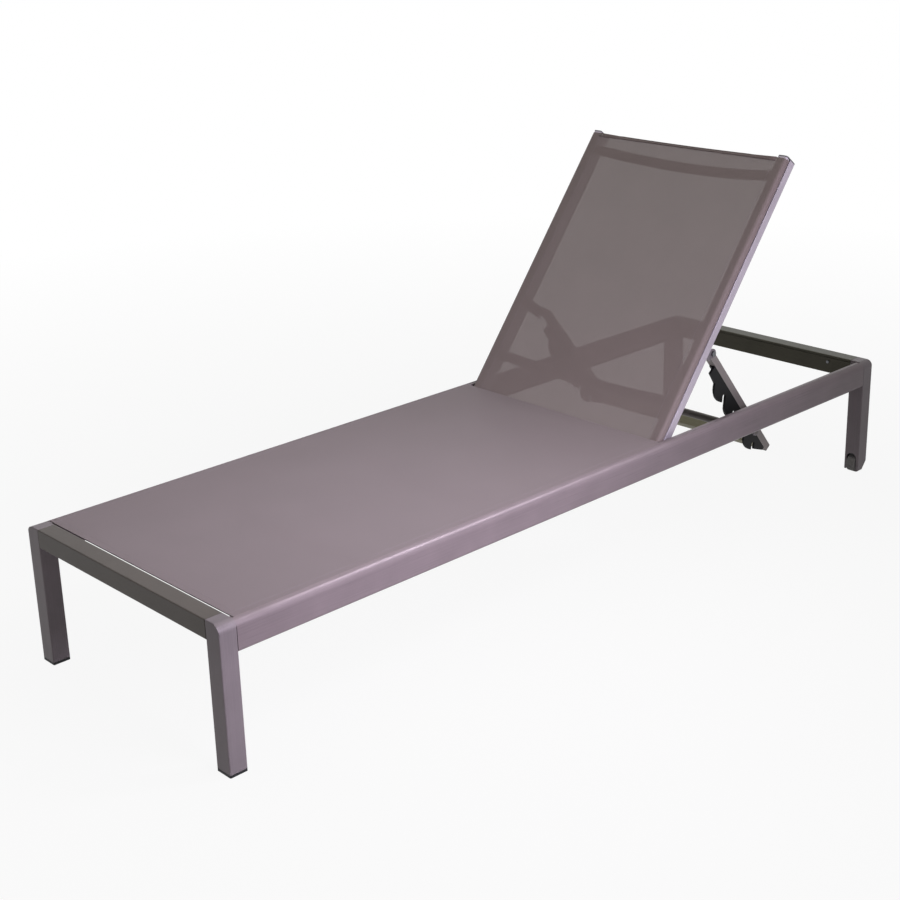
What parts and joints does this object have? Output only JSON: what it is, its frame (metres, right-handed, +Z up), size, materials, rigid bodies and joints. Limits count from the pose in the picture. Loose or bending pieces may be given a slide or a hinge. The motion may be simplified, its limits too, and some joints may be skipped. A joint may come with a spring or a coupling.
{
  "type": "sun lounger",
  "caption": "Low sun lounger with a grey sling seat, a backrest that reclines on a notched prop, and small wheels in its head legs.",
  "frame": {"origin": "on the floor, at the middle of the lounger's length and width", "axes": "+X from the foot end toward the head end, +Y toward the lying person's right, +Z up"},
  "size_m": [2, 0.636, 0.857],
  "materials": {
    "frame_aluminium": "brushed, anodised",
    "back_aluminium": "brushed, anodised",
    "prop_aluminium": "brushed, anodised",
    "cast_connectors": "as cast",
    "steel": "zinc plated",
    "black_plastic": "moulded",
    "grey_plastic": "moulded",
    "wheel_plastic": "moulded",
    "tyre_rubber": "matt",
    "spline_plastic": "extruded",
    "seat_cloth": "woven open mesh",
    "back_cloth": "woven open mesh"
  },
  "bodies": {
    "frame": {"foot_crossbar": "frame_aluminium", "head_crossbar": "frame_aluminium", "foot_leg_left": "frame_aluminium", "foot_leg_right": "frame_aluminium", "head_leg_left": "frame_aluminium", "head_leg_right": "frame_aluminium", "side_rail_left": "frame_aluminium", "side_rail_right": "frame_aluminium", "corner_connectors": "cast_connectors", "corner_screws": "steel", "rail_connectors": "cast_connectors", "rail_bolts": "steel", "foot_cap_left": "black_plastic", "foot_cap_right": "black_plastic", "wheel_housing_left": "black_plastic", "wheel_housing_right": "black_plastic", "axle_left": "steel", "axle_right": "steel", "seat_spreader_foot": "frame_aluminium", "seat_spreader_middle": "frame_aluminium", "seat_spreader_head": "frame_aluminium", "seat_splines": "spline_plastic", "seat_sling": "seat_cloth", "hinge_pin_left": "steel", "hinge_pin_right": "steel", "hinge_nuts": "steel", "hinge_spacers": "black_plastic", "catch_bracket_left": "frame_aluminium", "catch_bracket_right": "frame_aluminium", "catch_rivets": "steel", "catch_end_left": "steel", "catch_end_right": "steel"},
    "backrest": {"back_rail_left": "back_aluminium", "back_rail_right": "back_aluminium", "back_bush_left": "black_plastic", "back_bush_right": "black_plastic", "back_top_cap_left": "grey_plastic", "back_top_cap_right": "grey_plastic", "back_bottom_cap_left": "black_plastic", "back_bottom_cap_right": "black_plastic", "back_spreader_low": "back_aluminium", "back_spreader_high": "back_aluminium", "back_splines": "spline_plastic", "back_sling": "back_cloth", "prop_bracket_left": "back_aluminium", "prop_bracket_right": "back_aluminium", "bracket_rivets": "steel", "pivot_bolts": "steel", "pivot_nuts": "steel"},
    "prop": {"prop_arm_left": "prop_aluminium", "prop_arm_right": "prop_aluminium", "prop_arm_caps": "black_plastic", "prop_crossbar": "prop_aluminium", "rack_left": "black_plastic", "rack_right": "black_plastic", "catch_bar": "steel"},
    "left_wheel": {"wheel_left": "wheel_plastic", "tyre_left": "tyre_rubber"},
    "right_wheel": {"wheel_right": "wheel_plastic", "tyre_right": "tyre_rubber"}
  },
  "joints": [
    {"name": "backrest_recline", "type": "hinge", "parent": "frame", "child": "backrest", "pos_m": [0.2026, 0, 0.271], "axis": [0, -1, 0], "range_deg": [-52.1, 12.7]},
    {"name": "prop_swing", "type": "hinge", "parent": "backrest", "child": "prop", "pos_m": [0.41471, 0, 0.43765], "axis": [0, -1, 0], "range_deg": [-25, 100]},
    {"name": "left_wheel_roll", "type": "hinge", "parent": "frame", "child": "left_wheel", "pos_m": [0.978, -0.298, 0.022], "axis": [0, 1, 0], "continuous": true},
    {"name": "right_wheel_roll", "type": "hinge", "parent": "frame", "child": "right_wheel", "pos_m": [0.978, 0.298, 0.022], "axis": [0, 1, 0], "continuous": true}
  ],
  "couplings": [
    {"joint": "prop_swing", "follows": "backrest_recline", "ratio": -1.9}
  ]
}
